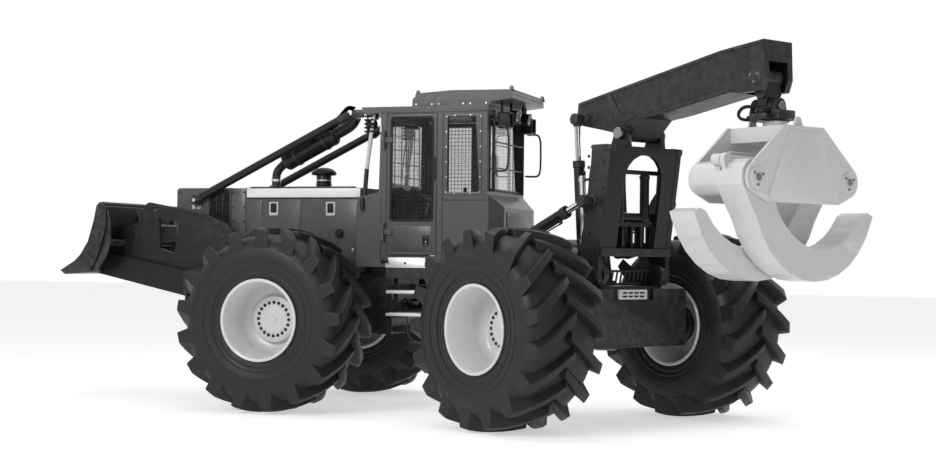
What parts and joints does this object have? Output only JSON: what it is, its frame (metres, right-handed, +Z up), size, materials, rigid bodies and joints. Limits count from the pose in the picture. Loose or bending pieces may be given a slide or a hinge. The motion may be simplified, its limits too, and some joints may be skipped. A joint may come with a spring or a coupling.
{
  "type": "grapple skidder",
  "caption": "Articulated log skidder with push blade, enclosed cab, rear arch and boom carrying a rotating log grapple",
  "frame": {"origin": "middle of the footprint of the whole machine as it stands, on the ground", "axes": "+X forward along the front half, +Y to the machine left, +Z up; the rear half is turned 31.15 degrees about +Z, clockwise from above"},
  "size_m": [9.0006, 4.7766, 3.654],
  "materials": {
    "body_paint": "painted",
    "chromed_rod": "polished",
    "frame_paint": "painted",
    "grapple_paint": "painted",
    "plain_steel": "brushed",
    "rim_paint": "painted",
    "seat_fabric": "woven",
    "tyre_rubber": "moulded",
    "window_glass": "polished"
  },
  "bodies": {
    "front": {"cab_interior": "frame_paint", "cab_roof": "body_paint", "cab_shell": "body_paint", "deflector_left": "frame_paint", "deflector_right": "frame_paint", "engine_block": "frame_paint", "engine_panel_left": "body_paint", "engine_panel_right": "body_paint", "front_axle": "frame_paint", "front_frame": "frame_paint", "hood": "body_paint", "muffler": "frame_paint", "precleaner": "frame_paint", "radiator_housing": "body_paint", "rear_window": "window_glass", "seat": "seat_fabric", "step_left": "plain_steel", "step_right": "plain_steel", "windshield": "window_glass"},
    "rear": {"rear_axle": "frame_paint", "rear_frame": "frame_paint", "winch": "frame_paint"},
    "arch": {"arch": "frame_paint", "fairlead": "frame_paint"},
    "arch_barrel": {"arch_barrel_left": "frame_paint", "arch_barrel_right": "frame_paint"},
    "arch_rod": {"arch_rod_left": "chromed_rod", "arch_rod_right": "chromed_rod"},
    "blade": {"blade": "frame_paint"},
    "blade_barrel": {"blade_barrel_left": "frame_paint", "blade_barrel_right": "frame_paint"},
    "blade_rod": {"blade_rod_left": "chromed_rod", "blade_rod_right": "chromed_rod"},
    "boom": {"boom": "frame_paint"},
    "boom_barrel": {"boom_barrel_left": "frame_paint", "boom_barrel_right": "frame_paint"},
    "boom_rod": {"boom_rod_left": "chromed_rod", "boom_rod_right": "chromed_rod"},
    "crosshead": {"crosshead": "frame_paint"},
    "door_left": {"door_left": "body_paint"},
    "door_right": {"door_right": "body_paint"},
    "grapple_barrel": {"grapple_barrel": "grapple_paint"},
    "grapple": {"grapple_head": "grapple_paint"},
    "grapple_rod": {"grapple_rod": "chromed_rod"},
    "hanger": {"hanger": "frame_paint"},
    "front_left": {"rim_front_left": "rim_paint", "tyre_front_left": "tyre_rubber"},
    "front_right": {"rim_front_right": "rim_paint", "tyre_front_right": "tyre_rubber"},
    "rear_left": {"rim_rear_left": "rim_paint", "tyre_rear_left": "tyre_rubber"},
    "rear_right": {"rim_rear_right": "rim_paint", "tyre_rear_right": "tyre_rubber"},
    "steer_left": {"steer_barrel_left": "frame_paint"},
    "steer_right": {"steer_barrel_right": "frame_paint"},
    "steer_rod_left": {"steer_rod_left": "chromed_rod"},
    "steer_rod_right": {"steer_rod_right": "chromed_rod"},
    "tong_left": {"tong_left": "grapple_paint"},
    "tong_right": {"tong_right": "grapple_paint"},
    "winch_drum": {"winch_drum": "plain_steel"}
  },
  "joints": [
    {"name": "steering", "type": "hinge", "parent": "front", "child": "rear", "pos_m": [-0.21974, -0.61433, 0], "axis": [0, 0, 1], "range_deg": [-13.85, 76.15]},
    {"name": "wheel_front_left", "type": "hinge", "parent": "front", "child": "front_left", "pos_m": [1.67826, 0.71967, 0.975], "axis": [0, 1, 0], "continuous": true},
    {"name": "wheel_front_right", "type": "hinge", "parent": "front", "child": "front_right", "pos_m": [1.67826, -1.94833, 0.975], "axis": [0, 1, 0], "continuous": true},
    {"name": "wheel_rear_left", "type": "hinge", "parent": "rear", "child": "rear_left", "pos_m": [-1.15402, 1.50912, 0.975], "axis": [0.5173, 0.8558, 0], "continuous": true},
    {"name": "wheel_rear_right", "type": "hinge", "parent": "rear", "child": "rear_right", "pos_m": [-2.53412, -0.77419, 0.975], "axis": [0.5173, 0.8558, 0], "continuous": true},
    {"name": "door_left", "type": "hinge", "parent": "front", "child": "door_left", "pos_m": [0.71527, 0.07567, 0], "axis": [0, 0, -1], "range_deg": [0, 100]},
    {"name": "door_right", "type": "hinge", "parent": "front", "child": "door_right", "pos_m": [0.71527, -1.30433, 0], "axis": [0, 0, 1], "range_deg": [0, 100]},
    {"name": "blade_lift", "type": "hinge", "parent": "front", "child": "blade", "pos_m": [2.38027, -0.61433, 1.5], "axis": [0, -1, 0], "range_deg": [-44, 4]},
    {"name": "arch_tilt", "type": "hinge", "parent": "rear", "child": "arch", "pos_m": [-2.11965, 0.53403, 1.5], "axis": [-0.5173, -0.8558, 0], "range_deg": [-5, 35]},
    {"name": "boom_lift", "type": "hinge", "parent": "arch", "child": "boom", "pos_m": [-2.23946, 0.60645, 2.888], "axis": [-0.5173, -0.8558, 0], "range_deg": [-12, 10]},
    {"name": "hanger_fore_aft", "type": "hinge", "parent": "boom", "child": "crosshead", "pos_m": [-3.62588, 1.44444, 3.32], "axis": [0.5173, 0.8558, 0], "range_deg": [-10, 45]},
    {"name": "hanger_side", "type": "hinge", "parent": "crosshead", "child": "hanger", "pos_m": [-3.62588, 1.44444, 3.06], "axis": [0.8558, -0.5173, 0], "range_deg": [-15, 15]},
    {"name": "grapple_rotate", "type": "hinge", "parent": "hanger", "child": "grapple", "pos_m": [-3.69435, 1.48582, 2.86], "axis": [0, 0, 1], "continuous": true},
    {"name": "tong_left", "type": "hinge", "parent": "grapple", "child": "tong_left", "pos_m": [-3.36329, 2.03355, 2.38], "axis": [0.8558, -0.5173, 0], "range_deg": [0, 90]},
    {"name": "tong_right", "type": "hinge", "parent": "grapple", "child": "tong_right", "pos_m": [-4.02541, 0.9381, 2.38], "axis": [0.8558, -0.5173, 0], "range_deg": [-90, 0]},
    {"name": "winch_drum", "type": "hinge", "parent": "rear", "child": "winch_drum", "pos_m": [-1.43499, 0.1202, 1.68], "axis": [0.5173, 0.8558, 0], "continuous": true},
    {"name": "blade_cylinders_swing", "type": "hinge", "parent": "front", "child": "blade_barrel", "pos_m": [2.53026, -0.61433, 0.95], "axis": [0, -1, 0], "range_deg": [-49.01, 4.98]},
    {"name": "blade_cylinders_slide", "type": "slide", "parent": "blade_barrel", "child": "blade_rod", "axis": [0.9119, 0, 0.4104], "range_m": [-0.4287, 0.0435]},
    {"name": "steer_cylinder_left_swing", "type": "hinge", "parent": "front", "child": "steer_left", "pos_m": [0.63026, -0.25433, 1.08], "axis": [0, 0, 1], "range_deg": [-5.42, 27.23]},
    {"name": "steer_cylinder_left_slide", "type": "slide", "parent": "steer_left", "child": "steer_rod_left", "axis": [-0.9906, 0.1371, 0], "range_m": [-0.0849, 0.4445]},
    {"name": "steer_cylinder_right_swing", "type": "hinge", "parent": "front", "child": "steer_right", "pos_m": [0.63026, -0.97433, 1.08], "axis": [0, 0, 1], "range_deg": [-5.51, 27.71]},
    {"name": "steer_cylinder_right_slide", "type": "slide", "parent": "steer_right", "child": "steer_rod_right", "axis": [-0.9696, 0.2448, 0], "range_m": [-0.4065, 0.078]},
    {"name": "arch_cylinders_swing", "type": "hinge", "parent": "rear", "child": "arch_barrel", "pos_m": [-1.20392, -0.01946, 1.78], "axis": [-0.5173, -0.8558, 0], "range_deg": [-1.99, 10.48]},
    {"name": "arch_cylinders_slide", "type": "slide", "parent": "arch_barrel", "child": "arch_rod", "axis": [-0.7893, 0.4771, 0.3865], "range_m": [-0.0587, 0.381]},
    {"name": "boom_cylinders_swing", "type": "hinge", "parent": "arch", "child": "boom_barrel", "pos_m": [-1.81155, 0.34781, 1.72], "axis": [-0.5173, -0.8558, 0], "range_deg": [-2.39, 2.09]},
    {"name": "boom_cylinders_slide", "type": "slide", "parent": "boom_barrel", "child": "boom_rod", "axis": [0.0637, -0.0385, 0.9972], "range_m": [-0.1283, 0.1078]},
    {"name": "grapple_cylinder_swing", "type": "hinge", "parent": "tong_left", "child": "grapple_barrel", "pos_m": [-3.30121, 2.13625, 2.54], "axis": [0.8558, -0.5173, 0], "range_deg": [-91, 1]},
    {"name": "grapple_cylinder_slide", "type": "slide", "parent": "grapple_barrel", "child": "grapple_rod", "axis": [-0.5173, -0.8558, 0], "range_m": [-0.5871, 0.005]}
  ],
  "couplings": [
    {"joint": "blade_cylinders_swing", "follows": "blade_lift", "ratio": 1.1009},
    {"joint": "blade_cylinders_slide", "follows": "blade_lift", "m_per_rad": 0.55178},
    {"joint": "steer_cylinder_left_swing", "follows": "steering", "ratio": 0.35009},
    {"joint": "steer_cylinder_left_slide", "follows": "steering", "m_per_rad": 0.33069},
    {"joint": "steer_cylinder_right_swing", "follows": "steering", "ratio": 0.35633},
    {"joint": "steer_cylinder_right_slide", "follows": "steering", "m_per_rad": -0.30209},
    {"joint": "arch_cylinders_swing", "follows": "arch_tilt", "ratio": 0.28304},
    {"joint": "arch_cylinders_slide", "follows": "arch_tilt", "m_per_rad": 0.61552},
    {"joint": "boom_cylinders_swing", "follows": "boom_lift", "ratio": 0.15128},
    {"joint": "boom_cylinders_slide", "follows": "boom_lift", "m_per_rad": 0.58878},
    {"joint": "tong_right", "follows": "tong_left", "ratio": -1},
    {"joint": "grapple_cylinder_swing", "follows": "tong_left", "ratio": -1},
    {"joint": "grapple_cylinder_slide", "follows": "tong_left", "m_per_rad": -0.37056}
  ]
}
